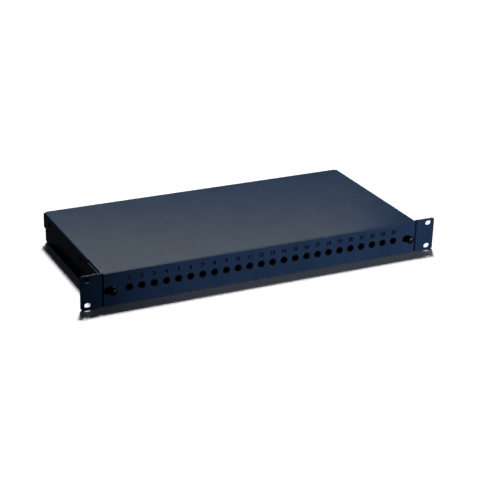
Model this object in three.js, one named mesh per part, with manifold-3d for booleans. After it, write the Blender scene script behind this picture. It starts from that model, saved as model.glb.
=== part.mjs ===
// Sliding 1U patch bay: a 19-inch rack case whose front is a drawer with 24 jack sockets.
// Millimetres, +X to the right, +Y to the rear, +Z up. The object stands on Z = 0, centred on X and Y.
import * as THREE from "three";
import { mergeVertices } from "three/addons/utils/BufferGeometryUtils.js";
import Module from "manifold-3d";

const wasm = await Module();
wasm.setup();

// ---------------------------------------------------------------- driving dimensions
const RACK_WIDTH = 482.6; // 19 inches over the ears
const EAR_HEIGHT = 43.6; // one rack unit less its clearance
const EAR_THICK = 2;
const EAR_CORNER = 3;
const EAR_INNER = 214; // half the distance between the ears
const SLOT_PITCH = 31.75;
const SLOT_X = 232.5;
const SLOT_LENGTH = 8.4;
const SLOT_HEIGHT = 6;

const SHEET = 1.2; // steel sheet of case and tray
const GAP = 0.3; // clearance between neighbouring pieces
const CASE_DEPTH = 212;
const CASE_HEIGHT = 42;
const CASE_FRONT = 2.6; // the case starts just behind the drawer front
const WALL_OUT = EAR_INNER - GAP; // outer face of the side walls
const WALL_IN = WALL_OUT - SHEET;
const WALL_TOP = CASE_HEIGHT - SHEET - GAP;
const REAR_OUT = CASE_DEPTH - SHEET - GAP; // outer face of the rear wall
const REAR_IN = REAR_OUT - SHEET;
const LAP_BOTTOM = 21; // lower edge of the cover's side flanges
const REAR_LAP = 34; // lower edge of the cover's rear flange

const FRONT_THICK = 2;
const FRONT_HALF = 212.8;
const FRONT_LOW = 0.5;
const FRONT_HIGH = 42.1;

const PORTS = 24;
const PORT_PITCH = 15.71;
const PORT_Z = 20.4;
const PORT_RADIUS = 4.8;
const PORT_SEGMENTS = 8; // segments in each arc of a port hole
const SOCKET_SIDES = 12;
const ROUND_SIDES = 24;

const TRAVEL = 120; // how far the drawer slides out
const TRAY_HALF = 195.5;
const TRAY_FLOOR = 3;
const TRAY_REAR = 195;
const TRAY_WALL_TOP = 30;

const LATCH_X = 203;
const LATCH_HOLE = 3.6;
const KNOB_REACH = 8.6; // how far the knobs stand out of the front
const GLAND_X = 8 * PORT_PITCH; // half way between two ports
const GLAND_REACH = 22; // how far the glands stand out of the rear wall

const SLIDE_FRONT = 12;
const SLIDE_LENGTH = 180;
const SLIDE_BACK_X = 208.5; // the outer member's back face
const SLIDE_LOW = PORT_Z - 15;
const SLIDE_HIGH = PORT_Z + 15;
const CAGE_LENGTH = SLIDE_LENGTH - TRAVEL;

// The box around the whole object is centred on Y = 0, which puts the front plane here.
const FRONT_Y = (KNOB_REACH - REAR_OUT - GLAND_REACH) / 2;

// ---------------------------------------------------------------- materials
const paint = new THREE.MeshStandardMaterial({ color: 0x1b2230, roughness: 0.45, metalness: 0.2 });
const zinc = new THREE.MeshStandardMaterial({ color: 0xa9adb2, roughness: 0.4, metalness: 0.9 });
const blackZinc = new THREE.MeshStandardMaterial({ color: 0x17181b, roughness: 0.4, metalness: 0.7 });
const nylon = new THREE.MeshStandardMaterial({ color: 0x0b0b0d, roughness: 0.35, metalness: 0 });
const jackPlastic = new THREE.MeshStandardMaterial({ color: 0x101012, roughness: 0.5, metalness: 0 });
const cageNylon = new THREE.MeshStandardMaterial({ color: 0xcfcfc8, roughness: 0.6, metalness: 0 });
const boardGreen = new THREE.MeshStandardMaterial({ color: 0x145a33, roughness: 0.5, metalness: 0 });
const terminalGreen = new THREE.MeshStandardMaterial({ color: 0x2e7d4f, roughness: 0.5, metalness: 0 });
const brass = new THREE.MeshStandardMaterial({ color: 0xb08d45, roughness: 0.35, metalness: 1 });

// ---------------------------------------------------------------- solid helpers
// Y is given from the front plane, and moved to the object's own frame by the root group.

function solidOf(geometry) {
  const plain = geometry.index ? geometry.toNonIndexed() : geometry.clone();
  plain.deleteAttribute("normal");
  plain.deleteAttribute("uv");
  const merged = mergeVertices(plain, 1e-4);
  return new wasm.Manifold(
    new wasm.Mesh({
      numProp: 3,
      vertProperties: merged.attributes.position.array,
      triVerts: new Uint32Array(merged.index.array),
    }),
  );
}

function geometryOf(solid) {
  const mesh = solid.getMesh();
  return new THREE.BufferGeometry()
    .setAttribute("position", new THREE.BufferAttribute(mesh.vertProperties, mesh.numProp))
    .setIndex(new THREE.BufferAttribute(mesh.triVerts, 1));
}

function join(...geometries) {
  return geometryOf(geometries.map(solidOf).reduce((a, b) => a.add(b)));
}

function cut(geometry, ...tools) {
  return geometryOf(tools.map(solidOf).reduce((a, b) => a.subtract(b), solidOf(geometry)));
}

function box(x0, x1, y0, y1, z0, z1) {
  return new THREE.BoxGeometry(x1 - x0, y1 - y0, z1 - z0).translate(
    (x0 + x1) / 2,
    (y0 + y1) / 2,
    (z0 + z1) / 2,
  );
}

function rodAlongX(x0, x1, y, z, radius, sides) {
  return new THREE.CylinderGeometry(radius, radius, x1 - x0, sides)
    .rotateZ(Math.PI / 2)
    .translate((x0 + x1) / 2, y, z);
}

function rodAlongY(x, y0, y1, z, radius, sides) {
  return new THREE.CylinderGeometry(radius, radius, y1 - y0, sides).translate(x, (y0 + y1) / 2, z);
}

// A closed profile of [radius, y] points turned about the Y axis.
function turned(profile, sides) {
  const points = profile.map(([radius, y]) => new THREE.Vector2(radius, y));
  return new THREE.LatheGeometry(points, sides);
}

// A shape drawn in X and Z, made into a plate from y0 to y1.
function plate(shape, y0, y1, curveSegments) {
  return new THREE.ExtrudeGeometry(shape, { depth: y1 - y0, bevelEnabled: false, curveSegments })
    .rotateX(Math.PI / 2)
    .translate(0, y1, 0);
}

function rectangle(x0, x1, z0, z1) {
  return new THREE.Shape([
    new THREE.Vector2(x0, z0),
    new THREE.Vector2(x1, z0),
    new THREE.Vector2(x1, z1),
    new THREE.Vector2(x0, z1),
  ]);
}

function roundHole(x, z, radius) {
  return new THREE.Path().absarc(x, z, radius, 0, 2 * Math.PI, true);
}

function slotHole(x, z, length, height) {
  const r = height / 2;
  const reach = length / 2 - r;
  return new THREE.Path()
    .absarc(x + reach, z, r, -Math.PI / 2, Math.PI / 2, false)
    .absarc(x - reach, z, r, Math.PI / 2, (3 * Math.PI) / 2, false);
}

// ---------------------------------------------------------------- scene graph
const patchBay = new THREE.Group();
patchBay.position.y = FRONT_Y;

function addPiece(name, geometry, material, place = {}) {
  const mesh = new THREE.Mesh(geometry, material);
  mesh.name = name;
  mesh.position.set(place.x ?? 0, place.y ?? 0, place.z ?? 0);
  mesh.scale.x = place.mirror ? -1 : 1;
  patchBay.add(mesh);
}

// The same piece on both sides: made for the right side, mirrored for the left.
function addPair(name, geometry, material) {
  addPiece(name + "_right", geometry, material);
  addPiece(name + "_left", geometry, material, { mirror: true });
}

// ---------------------------------------------------------------- case
const CLEAR = 3; // how far a drill tool reaches past the sheet that it cuts
const EAR_SCREW_Y = 22;
const EAR_SCREW_Z = [11, 31];
const EAR_SCREW_HOLE = 2.3;
const COVER_SCREW_Y = [75, 190];
const COVER_SCREW_Z = 31;
const COVER_SCREW_HOLE = 1.8;
const SCREW_HOLE_SIDES = 10;
const EARTH_X = 180;
const EARTH_HOLE = 2.8;
const GLAND_HOLE = 8.2;

function holeInWall(side, y, z, radius) {
  const middle = (side * (WALL_IN + WALL_OUT)) / 2;
  return rodAlongX(middle - CLEAR, middle + CLEAR, y, z, radius, SCREW_HOLE_SIDES);
}

function holeInRear(x, radius) {
  return rodAlongY(x, REAR_IN - CLEAR, REAR_OUT + CLEAR, PORT_Z, radius, ROUND_SIDES);
}

function chassisBase() {
  const body = join(
    box(-WALL_OUT, WALL_OUT, CASE_FRONT, REAR_OUT, 0, SHEET),
    box(-WALL_OUT, -WALL_IN, CASE_FRONT, REAR_OUT, 0, WALL_TOP),
    box(WALL_IN, WALL_OUT, CASE_FRONT, REAR_OUT, 0, WALL_TOP),
    box(-WALL_OUT, WALL_OUT, REAR_IN, REAR_OUT, 0, WALL_TOP),
  );
  const holes = [holeInRear(EARTH_X, EARTH_HOLE)];
  for (const side of [-1, 1]) {
    for (const z of EAR_SCREW_Z) holes.push(holeInWall(side, EAR_SCREW_Y, z, EAR_SCREW_HOLE));
    for (const y of COVER_SCREW_Y) holes.push(holeInWall(side, y, COVER_SCREW_Z, COVER_SCREW_HOLE));
    holes.push(holeInRear(side * GLAND_X, GLAND_HOLE));
  }
  return cut(body, ...holes);
}

const COVER_OUT = EAR_INNER + SHEET; // outer face of the cover's side flanges
const EAR_FLANGE_REAR = 44;
const COVER_FLANGE_FRONT = EAR_FLANGE_REAR + 2; // the side flanges start behind the ears
const LID_LOW = CASE_HEIGHT - SHEET;

// A flat lid, narrower between the ears, with two side flanges and a rear flange.
function topCover() {
  const lid = join(
    box(-EAR_INNER, EAR_INNER, CASE_FRONT, CASE_DEPTH, LID_LOW, CASE_HEIGHT),
    box(-COVER_OUT, COVER_OUT, COVER_FLANGE_FRONT, CASE_DEPTH, LID_LOW, CASE_HEIGHT),
    box(EAR_INNER, COVER_OUT, COVER_FLANGE_FRONT, CASE_DEPTH, LAP_BOTTOM, CASE_HEIGHT),
    box(-COVER_OUT, -EAR_INNER, COVER_FLANGE_FRONT, CASE_DEPTH, LAP_BOTTOM, CASE_HEIGHT),
    box(-COVER_OUT, COVER_OUT, CASE_DEPTH - SHEET, CASE_DEPTH, REAR_LAP, CASE_HEIGHT),
  );
  const holes = [-1, 1].flatMap((side) =>
    COVER_SCREW_Y.map((y) => holeInWall(side, y, COVER_SCREW_Z, COVER_SCREW_HOLE)),
  );
  return cut(lid, ...holes);
}

const EAR_FLANGE_LOW = 2;
const EAR_FLANGE_HIGH = 39.5;
const EAR_CORNER_SEGMENTS = 6;

// An angle bracket: a front plate with two rack slots, and a flange that is screwed to the side wall.
function rackEar() {
  const x0 = EAR_INNER;
  const x1 = RACK_WIDTH / 2;
  const r = EAR_CORNER;
  const outline = new THREE.Shape()
    .moveTo(x0, EAR_HEIGHT)
    .lineTo(x0, 0)
    .absarc(x1 - r, r, r, -Math.PI / 2, 0, false)
    .absarc(x1 - r, EAR_HEIGHT - r, r, 0, Math.PI / 2, false);
  for (const end of [-1, 1]) {
    const z = EAR_HEIGHT / 2 + (end * SLOT_PITCH) / 2;
    outline.holes.push(slotHole(SLOT_X, z, SLOT_LENGTH, SLOT_HEIGHT));
  }
  const front = plate(outline, 0, EAR_THICK, EAR_CORNER_SEGMENTS);
  const flange = box(x0, x0 + EAR_THICK, 0, EAR_FLANGE_REAR, EAR_FLANGE_LOW, EAR_FLANGE_HIGH);
  const holes = EAR_SCREW_Z.map((z) =>
    rodAlongX(x0 - CLEAR, x0 + EAR_THICK + CLEAR, EAR_SCREW_Y, z, EAR_SCREW_HOLE, SCREW_HOLE_SIDES),
  );
  return cut(join(front, flange), ...holes);
}

// Pan-head screws: the head's radius and height, the shank's radius, and the plane x = seat under the head.
const EAR_SCREW = { head: 3.8, rise: 2.2, shank: 2, seat: EAR_INNER + EAR_THICK + GAP };
const COVER_SCREW = { head: 2.9, rise: 1.6, shank: 1.5, seat: COVER_OUT + GAP };
const SCREW_END = WALL_IN + 0.1; // the shanks end inside the side wall's hole

function sideScrew({ head, rise, shank, seat }, y, z) {
  return join(
    rodAlongX(seat, seat + rise, y, z, head, 12),
    rodAlongX(SCREW_END, seat + rise / 2, y, z, shank, 8),
  );
}

// The same screw on both sides.
function addScrewPair(kind, end, screw) {
  addPiece(kind + "_right_" + end, screw, blackZinc);
  addPiece(kind + "_left_" + end, screw, blackZinc, { mirror: true });
}

function addSideScrews() {
  const [earLow, earHigh] = EAR_SCREW_Z;
  const [coverFront, coverRear] = COVER_SCREW_Y;
  addScrewPair("ear_screw", "lower", sideScrew(EAR_SCREW, EAR_SCREW_Y, earLow));
  addScrewPair("ear_screw", "upper", sideScrew(EAR_SCREW, EAR_SCREW_Y, earHigh));
  addScrewPair("cover_screw", "front", sideScrew(COVER_SCREW, coverFront, COVER_SCREW_Z));
  addScrewPair("cover_screw", "rear", sideScrew(COVER_SCREW, coverRear, COVER_SCREW_Z));
}

const GLAND_BORE = 5;
const GLAND_THREAD = 7.9;
const GLAND_INSIDE = 11; // how far the threaded end reaches into the case
const GLAND_CAP = 10.5;
const HEXAGON = 12.7; // corner radius of the gland's and the nut's hexagons
const NUT_THICK = 5;

// A gland on its own Y axis, with y = 0 at the rear wall's outer face.
function cableGland() {
  const barrel = turned(
    [
      [GLAND_BORE, -GLAND_INSIDE],
      [GLAND_THREAD, -GLAND_INSIDE],
      [GLAND_THREAD, GAP],
      [GLAND_CAP - 1, GAP],
      [GLAND_CAP, 9],
      [GLAND_CAP, 18],
      [GLAND_CAP - 0.9, 20.5],
      [7, GLAND_REACH],
      [GLAND_BORE, GLAND_REACH],
      [GLAND_BORE, -GLAND_INSIDE],
    ],
    ROUND_SIDES,
  );
  const flats = rodAlongY(0, GAP, 7, 0, HEXAGON, 6);
  return join(barrel, cut(flats, rodAlongY(0, -CLEAR, 9, 0, GLAND_BORE, ROUND_SIDES)));
}

function glandNut() {
  const face = -SHEET - GAP;
  const flats = rodAlongY(0, face - NUT_THICK, face, 0, HEXAGON, 6);
  return cut(flats, rodAlongY(0, face - NUT_THICK - CLEAR, face + CLEAR, 0, GLAND_HOLE, ROUND_SIDES));
}

function addGlands() {
  for (const [side, x] of [["left", -GLAND_X], ["right", GLAND_X]]) {
    addPiece("cable_gland_" + side, cableGland(), nylon, { x, y: REAR_OUT, z: PORT_Z });
    addPiece("gland_nut_" + side, glandNut(), nylon, { x, y: REAR_OUT, z: PORT_Z });
  }
}

const EARTH_HEAD = { radius: 4.6, rise: 4 };
const EARTH_SHANK = { radius: 2.4, inside: 6 };

function earthScrew() {
  const seat = REAR_OUT + GAP;
  return join(
    rodAlongY(EARTH_X, seat, seat + EARTH_HEAD.rise, PORT_Z, EARTH_HEAD.radius, 6),
    rodAlongY(EARTH_X, REAR_IN - EARTH_SHANK.inside, seat + 1, PORT_Z, EARTH_SHANK.radius, 12),
  );
}

// ---------------------------------------------------------------- ball slides
const SLIDE_WALL = 1.2;
const SLIDE_REAR = SLIDE_FRONT + SLIDE_LENGTH;
const OUTER_LIP_X = 197.2; // the fixed channel's flanges reach this far in
const INNER_X = TRAY_HALF + GAP; // the inner member's web lies on the tray's side
const INNER_LIP_X = 204.8;
const INNER_INSET = 4; // the inner member is this much lower than the fixed one, above and below
const CAGE_X = [198.6, 206.8];
const CAGE_FRONT = SLIDE_FRONT + TRAVEL / 2;
const CAGE_WEB = 1.4;
const CAGE_FLANGE = 2; // the strips that hold the balls
const CAGE_SLACK = 0.4;

// A channel along Y: a web at webX, and two flanges that reach from it to lipX.
function channel(webX, lipX, webThick, flangeThick, [z0, z1], [y0, y1]) {
  const low = Math.min(webX, lipX);
  const high = Math.max(webX, lipX);
  const web = webX < lipX ? [webX, webX + webThick] : [webX - webThick, webX];
  return join(
    box(...web, y0, y1, z0, z1),
    box(low, high, y0, y1, z0, z0 + flangeThick),
    box(low, high, y0, y1, z1 - flangeThick, z1),
  );
}

function slideOuter() {
  const heights = [SLIDE_LOW, SLIDE_HIGH];
  return channel(SLIDE_BACK_X, OUTER_LIP_X, SLIDE_WALL, SLIDE_WALL, heights, [SLIDE_FRONT, SLIDE_REAR]);
}

function slideInner() {
  const heights = [SLIDE_LOW + INNER_INSET, SLIDE_HIGH - INNER_INSET];
  return channel(INNER_X, INNER_LIP_X, SLIDE_WALL, SLIDE_WALL, heights, [SLIDE_FRONT, SLIDE_REAR]);
}

function slideCage() {
  const inset = SLIDE_WALL + CAGE_SLACK;
  const heights = [SLIDE_LOW + inset, SLIDE_HIGH - inset];
  const [lip, web] = CAGE_X;
  return channel(web, lip, CAGE_WEB, CAGE_FLANGE, heights, [CAGE_FRONT, CAGE_FRONT + CAGE_LENGTH]);
}

const BRACKET_LOW = SLIDE_LOW + 4;
const BRACKET_HIGH = SLIDE_HIGH - 9;
const CATCH_HALF = 6.5; // half the height of the catch tab
const CATCH_FRONT = 3.2;
const CATCH_INNER = 197.9; // the tab reaches into the slide's hollow, and no further

// The packing strip behind a slide. At its front, an arm folds in to the tab
// that the plunger latch catches.
function slideBracket() {
  const back = WALL_IN - GAP;
  const armLow = PORT_Z - CATCH_HALF;
  const body = join(
    box(SLIDE_BACK_X + GAP, back, SLIDE_FRONT, SLIDE_REAR, BRACKET_LOW, BRACKET_HIGH),
    box(back - SHEET, back, CATCH_FRONT, SLIDE_FRONT + 2, armLow, BRACKET_HIGH),
    box(CATCH_INNER, back, CATCH_FRONT, CATCH_FRONT + SHEET, armLow, PORT_Z + CATCH_HALF),
  );
  const reach = [CATCH_FRONT - CLEAR, CATCH_FRONT + SHEET + CLEAR];
  return cut(body, rodAlongY(LATCH_X, ...reach, PORT_Z, LATCH_HOLE, 16));
}

// ---------------------------------------------------------------- drawer
const BOARD_LOW = 11.4;
const BOARD_THICK = 1.6;
const BOARD_FRONT = 6;
const BOARD_REAR = 62;
const BOARD_INNER = 1;
const BOARD_OUTER = 190;
const BOSS_X = [12, 70, 128, 182];
const BOSS_Y = 34;
const BOSS_RADIUS = { top: 3, foot: 4 };

function portX(index) {
  return (index - (PORTS - 1) / 2) * PORT_PITCH;
}

function frontPanel() {
  const outline = rectangle(-FRONT_HALF, FRONT_HALF, FRONT_LOW, FRONT_HIGH);
  for (let i = 0; i < PORTS; i++) outline.holes.push(roundHole(portX(i), PORT_Z, PORT_RADIUS));
  for (const side of [-1, 1]) outline.holes.push(roundHole(side * LATCH_X, PORT_Z, LATCH_HOLE));
  return plate(outline, 0, FRONT_THICK, PORT_SEGMENTS);
}

// A post on the tray's floor that a circuit board is screwed to.
function boardBoss(x) {
  const top = BOARD_LOW - GAP;
  return new THREE.CylinderGeometry(BOSS_RADIUS.top, BOSS_RADIUS.foot, top - TRAY_FLOOR, 10)
    .rotateX(Math.PI / 2)
    .translate(x, BOSS_Y, (top + TRAY_FLOOR) / 2);
}

function drawerTray() {
  const front = FRONT_THICK + GAP;
  const frontTop = TRAY_FLOOR + 8;
  const rearTop = TRAY_FLOOR + 11;
  return join(
    box(-TRAY_HALF, TRAY_HALF, front, TRAY_REAR, TRAY_FLOOR, TRAY_FLOOR + SHEET),
    box(-TRAY_HALF, -TRAY_HALF + SHEET, front, TRAY_REAR, TRAY_FLOOR, TRAY_WALL_TOP),
    box(TRAY_HALF - SHEET, TRAY_HALF, front, TRAY_REAR, TRAY_FLOOR, TRAY_WALL_TOP),
    box(-TRAY_HALF, TRAY_HALF, front, front + SHEET, TRAY_FLOOR, frontTop),
    box(-TRAY_HALF, TRAY_HALF, TRAY_REAR - SHEET, TRAY_REAR, TRAY_FLOOR, rearTop),
    ...BOSS_X.flatMap((x) => [boardBoss(x), boardBoss(-x)]),
  );
}

const SOCKET_BORE = 3.3; // takes a 6.35 mm plug
const SOCKET_NOSE = 4.5;
const SOCKET_FACE = 0.4; // the nose lies this far behind the front plane
const SOCKET_BODY = { half: 6.5, rise: 6.9, front: 3, rear: 25 };

// A jack socket on its own Y axis, with y = 0 at the front plane. The bore goes through, so a plug's tip can
// stand out at the rear.
function jackSocket() {
  const { half, rise, front, rear } = SOCKET_BODY;
  const body = join(
    rodAlongY(0, SOCKET_FACE, front + 1, 0, SOCKET_NOSE, SOCKET_SIDES),
    box(-half, half, front, rear, -rise, rise),
  );
  return cut(body, rodAlongY(0, -CLEAR, rear + CLEAR, 0, SOCKET_BORE, SOCKET_SIDES));
}

function addJackSockets() {
  const socket = jackSocket();
  for (let i = 0; i < PORTS; i++) {
    const name = "jack_socket_" + String(i + 1).padStart(2, "0");
    addPiece(name, socket, jackPlastic, { x: portX(i), z: PORT_Z });
  }
}

function jackBoard() {
  return box(BOARD_INNER, BOARD_OUTER, BOARD_FRONT, BOARD_REAR, BOARD_LOW, BOARD_LOW + BOARD_THICK);
}

const TERMINAL_INNER = 4;
const TERMINAL_LENGTH = 183; // 36 ways of 5.08 mm
const TERMINAL_FRONT = 44;
const TERMINAL_REAR = 60;
const TERMINAL_TALL = 13;

// Screw terminals in a row, with a sloped shoulder at the front and at the rear.
function terminalBlock() {
  const low = BOARD_LOW + BOARD_THICK + GAP;
  const section = new THREE.Shape([
    new THREE.Vector2(TERMINAL_FRONT, low),
    new THREE.Vector2(TERMINAL_REAR, low),
    new THREE.Vector2(TERMINAL_REAR, low + 9),
    new THREE.Vector2(TERMINAL_REAR - 3, low + TERMINAL_TALL),
    new THREE.Vector2(TERMINAL_FRONT + 3, low + TERMINAL_TALL),
    new THREE.Vector2(TERMINAL_FRONT, low + 10),
  ]);
  return new THREE.ExtrudeGeometry(section, { depth: TERMINAL_LENGTH, bevelEnabled: false })
    .rotateX(Math.PI / 2)
    .rotateZ(Math.PI / 2)
    .translate(TERMINAL_INNER, 0, 0);
}

const BAR_THICK = 1.5;
const BAR_TOP = 15;
const BAR_FRONT = 112;
const BAR_REAR = 125;
const BAR_BEND = 168; // inner face of the hat's uprights
const BAR_END = 186;
const TIE_SLOT_X = [-140, -84, -28, 28, 84, 140];
const TIE_SLOT = { half: 5, front: 117, rear: 120 };

// A hat-shaped strip across the tray, slotted for cable ties.
function lacingBar() {
  const foot = TRAY_FLOOR + SHEET + GAP;
  const outer = BAR_BEND + BAR_THICK;
  const hat = new THREE.Shape([
    new THREE.Vector2(-BAR_END, foot),
    new THREE.Vector2(-BAR_BEND, foot),
    new THREE.Vector2(-BAR_BEND, BAR_TOP - BAR_THICK),
    new THREE.Vector2(BAR_BEND, BAR_TOP - BAR_THICK),
    new THREE.Vector2(BAR_BEND, foot),
    new THREE.Vector2(BAR_END, foot),
    new THREE.Vector2(BAR_END, foot + BAR_THICK),
    new THREE.Vector2(outer, foot + BAR_THICK),
    new THREE.Vector2(outer, BAR_TOP),
    new THREE.Vector2(-outer, BAR_TOP),
    new THREE.Vector2(-outer, foot + BAR_THICK),
    new THREE.Vector2(-BAR_END, foot + BAR_THICK),
  ]);
  const { half, front, rear } = TIE_SLOT;
  const slots = TIE_SLOT_X.map((x) =>
    box(x - half, x + half, front, rear, BAR_TOP - BAR_THICK - CLEAR, BAR_TOP + CLEAR),
  );
  return cut(plate(hat, BAR_FRONT, BAR_REAR), ...slots);
}

// ---------------------------------------------------------------- plunger latches
const LATCH_SIDES = 16;
const GROMMET = { bore: 2, collar: 5, sleeve: 3.3, front: -1.8, rear: 9 };
const KNOB = { radius: 4.8, face: 4, rear: -2.2 };
const PIN = { radius: 1.6, shoulder: 8, tip: 9 };

function latchGrommet() {
  const { bore, collar, sleeve, front, rear } = GROMMET;
  return turned(
    [
      [bore, front],
      [collar, front],
      [collar, -GAP],
      [sleeve, -GAP],
      [sleeve, rear],
      [bore, rear],
      [bore, front],
    ],
    LATCH_SIDES,
  ).translate(LATCH_X, 0, PORT_Z);
}

function latchPlunger() {
  return turned(
    [
      [0, -KNOB_REACH],
      [KNOB.face, -KNOB_REACH],
      [KNOB.radius, -KNOB_REACH + 0.8],
      [KNOB.radius, KNOB.rear],
      [PIN.radius, KNOB.rear],
      [PIN.radius, PIN.shoulder],
      [0, PIN.tip],
    ],
    LATCH_SIDES,
  ).translate(LATCH_X, 0, PORT_Z);
}

// ---------------------------------------------------------------- the assembly
addPiece("chassis_base", chassisBase(), paint);
addPiece("top_cover", topCover(), paint);
addPair("rack_ear", rackEar(), paint);
addSideScrews();
addPair("slide_bracket", slideBracket(), zinc);
addPair("slide_outer", slideOuter(), zinc);
addGlands();
addPiece("earth_screw", earthScrew(), brass);

addPair("slide_cage", slideCage(), cageNylon);

addPiece("front_panel", frontPanel(), paint);
addPiece("drawer_tray", drawerTray(), paint);
addPair("slide_inner", slideInner(), zinc);
addPair("jack_board", jackBoard(), boardGreen);
addPair("terminal_block", terminalBlock(), terminalGreen);
addJackSockets();
addPiece("lacing_bar", lacingBar(), zinc);
addPair("latch_grommet", latchGrommet(), nylon);
addPair("latch_plunger", latchPlunger(), nylon);

export default patchBay;
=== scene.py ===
"""Looks of the sliding 1U patch bay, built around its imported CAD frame.

Builders work in millimetres: x from the middle, y from the front panel's face towards the rear, z from the
base. at() turns such a point into metres in the CAD frame. Where a CAD node has a box, sizes and places come
from it.
"""

import math

import bmesh
import bpy
from mathutils import Matrix, Quaternion, Vector

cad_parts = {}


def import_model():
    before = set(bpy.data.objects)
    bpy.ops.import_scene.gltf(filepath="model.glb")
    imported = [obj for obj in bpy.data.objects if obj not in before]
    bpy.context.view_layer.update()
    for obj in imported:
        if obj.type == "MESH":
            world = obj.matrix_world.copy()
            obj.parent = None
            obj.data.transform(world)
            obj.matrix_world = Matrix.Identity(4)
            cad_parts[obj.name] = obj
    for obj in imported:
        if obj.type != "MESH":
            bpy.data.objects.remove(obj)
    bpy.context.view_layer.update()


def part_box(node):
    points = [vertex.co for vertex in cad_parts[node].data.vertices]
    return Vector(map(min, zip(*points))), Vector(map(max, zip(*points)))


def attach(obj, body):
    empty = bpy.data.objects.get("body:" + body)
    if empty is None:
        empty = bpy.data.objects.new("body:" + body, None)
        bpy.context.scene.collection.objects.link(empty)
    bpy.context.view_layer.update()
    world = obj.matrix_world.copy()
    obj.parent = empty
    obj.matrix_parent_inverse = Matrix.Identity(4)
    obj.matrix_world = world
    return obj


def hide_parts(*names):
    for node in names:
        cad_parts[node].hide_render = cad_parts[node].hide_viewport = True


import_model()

MM = 0.001
TOUCHING = 1e-7  # metres: points closer than this are one point
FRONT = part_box("front_panel")[0].y
X, Y, Z = Vector((1, 0, 0)), Vector((0, 1, 0)), Vector((0, 0, 1))
SIDES = {"left": -1, "right": 1}


def at(x, y, z):
    """A builder's point, in metres in the CAD frame."""
    return Vector((x * MM, FRONT + y * MM, z * MM))


def span(node):
    """Lowest and highest corner of a CAD node, as a builder's points."""
    shift = Vector((0, FRONT, 0))
    return tuple((corner - shift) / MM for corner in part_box(node))


def middle(node):
    lo, hi = span(node)
    return (lo + hi) / 2


# ---------------------------------------------------------------- outlines, in two dimensions
def arc(cx, cy, radius, start, end, steps):
    """Points of an arc, angles in degrees."""
    turn = [math.radians(start + (end - start) * i / steps) for i in range(steps + 1)]
    return [(cx + radius * math.cos(t), cy + radius * math.sin(t)) for t in turn]


def circle(cx, cy, radius, steps=48):
    return arc(cx, cy, radius, 0, 360, steps)[:-1]


def slot(cx, cy, length, height, steps=12):
    r = height / 2
    reach = length / 2 - r
    return arc(cx + reach, cy, r, -90, 90, steps) + arc(cx - reach, cy, r, 90, 270, steps)


def rectangle(x0, x1, y0, y1):
    return [(x0, y0), (x1, y0), (x1, y1), (x0, y1)]


def rounded(points, radius, steps=5):
    """A polygon with each corner turned into an arc."""
    out = []
    n = len(points)
    for i in range(n):
        p = Vector(points[i])
        a = Vector(points[i - 1]) - p
        b = Vector(points[(i + 1) % n]) - p
        limit = 0.45 * min(a.length, b.length)
        a.normalize()
        b.normalize()
        half = a.angle(b) / 2
        if half > math.radians(85):
            out.append(tuple(p))
            continue
        cut = min(radius / math.tan(half), limit)
        r = cut * math.tan(half)
        centre = p + (a + b).normalized() * (r / math.sin(half))
        start = math.atan2(*(p + a * cut - centre).yx)
        end = math.atan2(*(p + b * cut - centre).yx)
        sweep = (end - start + math.pi) % (2 * math.pi) - math.pi
        for k in range(steps + 1):
            t = start + sweep * k / steps
            out.append((centre.x + r * math.cos(t), centre.y + r * math.sin(t)))
    return out


# ---------------------------------------------------------------- mesh builders
def prism(bm, outline, place, length):
    """A closed prism: the outline in the plane of place's first two axes, drawn out along its third."""
    near = [bm.verts.new(place @ Vector((x * MM, y * MM, 0))) for x, y in outline]
    far = [bm.verts.new(place @ Vector((x * MM, y * MM, length * MM))) for x, y in outline]
    faces = [bm.faces.new(near), bm.faces.new(far)]
    for i in range(len(outline)):
        j = (i + 1) % len(outline)
        faces.append(bm.faces.new((near[i], near[j], far[j], far[i])))
    bmesh.ops.recalc_face_normals(bm, faces=faces)


def axes(origin, first, second, third):
    """A matrix with its origin and its three axes."""
    m = Matrix((first, second, third)).transposed().to_4x4()
    m.translation = origin
    return m


def along_y(x, y, z):
    """Outlines in X and Z, drawn out towards the rear."""
    return axes(at(x, y, z), X, Z, Y)


def along_x(x, y, z):
    """Outlines in Y and Z, drawn out to the right."""
    return axes(at(x, y, z), Y, Z, X)


def along_z(x, y, z):
    return axes(at(x, y, z), X, Y, Z)


def turned(bm, profile, place, steps=48):
    """A profile of (radius, distance) turned about place's third axis.

    A profile that doesn't end on the axis is closed: its last point is joined to its first.
    """
    rings = []
    for radius, distance in profile:
        if radius == 0:
            rings.append([bm.verts.new(place @ Vector((0, 0, distance * MM)))])
            continue
        ring = []
        for k in range(steps):
            t = 2 * math.pi * k / steps
            p = Vector((radius * MM * math.cos(t), radius * MM * math.sin(t), distance * MM))
            ring.append(bm.verts.new(place @ p))
        rings.append(ring)
    closes = len(rings[0]) > 1 or len(rings[-1]) > 1
    pairs = list(zip(rings, rings[1:])) + ([(rings[-1], rings[0])] if closes else [])
    faces = []
    for a, b in pairs:
        for k in range(steps):
            j = (k + 1) % steps
            corners = [a[k % len(a)], a[j % len(a)], b[j % len(b)], b[k % len(b)]]
            unique = list(dict.fromkeys(corners))
            if len(unique) > 2:
                faces.append(bm.faces.new(unique))
    bmesh.ops.recalc_face_normals(bm, faces=faces)


def add_object(name, bm):
    mesh = bpy.data.meshes.new(name)
    bm.to_mesh(mesh)
    bm.free()
    obj = bpy.data.objects.new(name, mesh)
    bpy.context.scene.collection.objects.link(obj)
    return obj


def settle(obj):
    """Turns the object's modifiers into its mesh."""
    graph = bpy.context.evaluated_depsgraph_get()
    mesh = bpy.data.meshes.new_from_object(obj.evaluated_get(graph))
    old = obj.data
    obj.modifiers.clear()
    obj.data = mesh
    bpy.data.meshes.remove(old)
    return obj


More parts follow.
